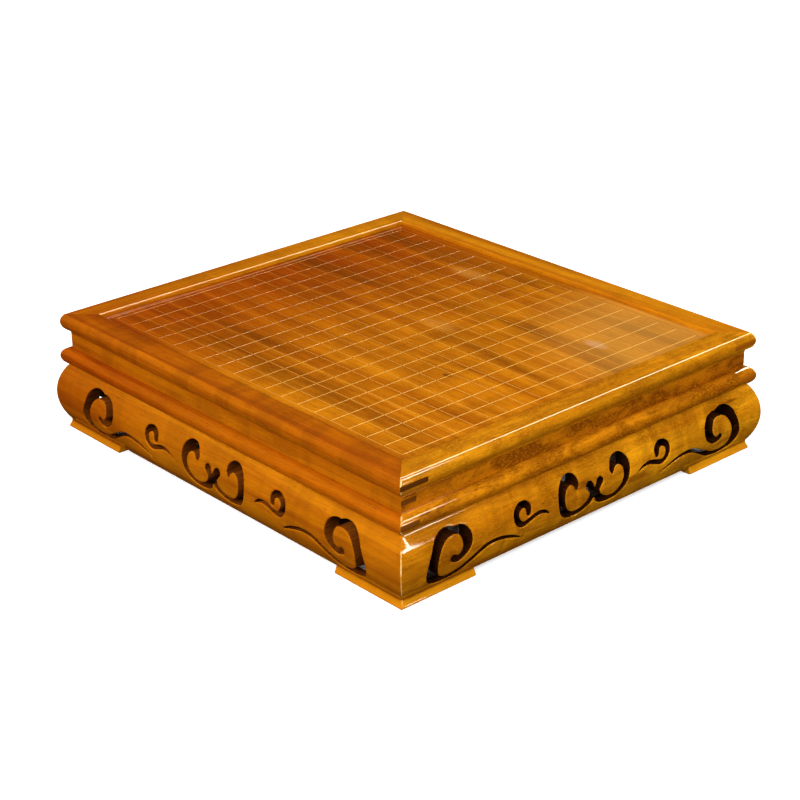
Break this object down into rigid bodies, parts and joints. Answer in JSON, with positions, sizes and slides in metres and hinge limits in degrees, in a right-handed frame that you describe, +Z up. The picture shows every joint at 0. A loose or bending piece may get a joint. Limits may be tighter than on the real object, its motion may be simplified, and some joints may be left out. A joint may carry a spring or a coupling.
{
  "type": "go board on stand with stone drawers",
  "caption": "Low carved wooden stand with a mitred rim around a recessed go board, a bead, bulged pierced aprons on flared feet, and two carved-front stone drawers in the back.",
  "frame": {"origin": "on the floor under the centre of the board", "axes": "+Z up, +X along the long side, +Y towards the drawer side, -Y the plain front"},
  "size_m": [0.5208, 0.4768, 0.123],
  "materials": {
    "amber_lacquer": "high gloss amber lacquer over hardwood",
    "board_lacquer": "gloss amber lacquer over streaked hardwood, with painted line grooves",
    "inside_wood": "planed hardwood, oiled and not lacquered"
  },
  "bodies": {
    "board": {"apron_back_left": "amber_lacquer", "apron_back_right": "amber_lacquer", "apron_front": "amber_lacquer", "apron_left": "amber_lacquer", "apron_right": "amber_lacquer", "bead_rail_back": "amber_lacquer", "bead_rail_front": "amber_lacquer", "bead_rail_left": "amber_lacquer", "bead_rail_right": "amber_lacquer", "board_panel": "board_lacquer", "case_back_left": "inside_wood", "case_back_right": "inside_wood", "case_divider": "inside_wood", "case_side_left": "inside_wood", "case_side_right": "inside_wood", "corner_block_back_left": "inside_wood", "corner_block_back_right": "inside_wood", "corner_block_front_left": "inside_wood", "corner_block_front_right": "inside_wood", "panel_batten_1": "inside_wood", "panel_batten_2": "inside_wood", "panel_batten_3": "inside_wood", "rim_back": "amber_lacquer", "rim_front": "amber_lacquer", "rim_left": "amber_lacquer", "rim_right": "amber_lacquer", "runner_left_inner": "inside_wood", "runner_left_outer": "inside_wood", "runner_right_inner": "inside_wood", "runner_right_outer": "inside_wood", "waist_board_back": "amber_lacquer", "waist_board_front": "amber_lacquer", "waist_board_left": "amber_lacquer", "waist_board_right": "amber_lacquer"},
    "drawer_left": {"drawer_back_left": "inside_wood", "drawer_bottom_left": "inside_wood", "drawer_front_left": "amber_lacquer", "drawer_inner_front_left": "inside_wood", "drawer_side_inner_left": "inside_wood", "drawer_side_outer_left": "inside_wood"},
    "drawer_right": {"drawer_back_right": "inside_wood", "drawer_bottom_right": "inside_wood", "drawer_front_right": "amber_lacquer", "drawer_inner_front_right": "inside_wood", "drawer_side_inner_right": "inside_wood", "drawer_side_outer_right": "inside_wood"}
  },
  "joints": [
    {"name": "drawer_left_slide", "type": "slide", "parent": "board", "child": "drawer_left", "axis": [0, 1, 0], "range_m": [0, 0.2]},
    {"name": "drawer_right_slide", "type": "slide", "parent": "board", "child": "drawer_right", "axis": [0, 1, 0], "range_m": [0, 0.2]}
  ]
}
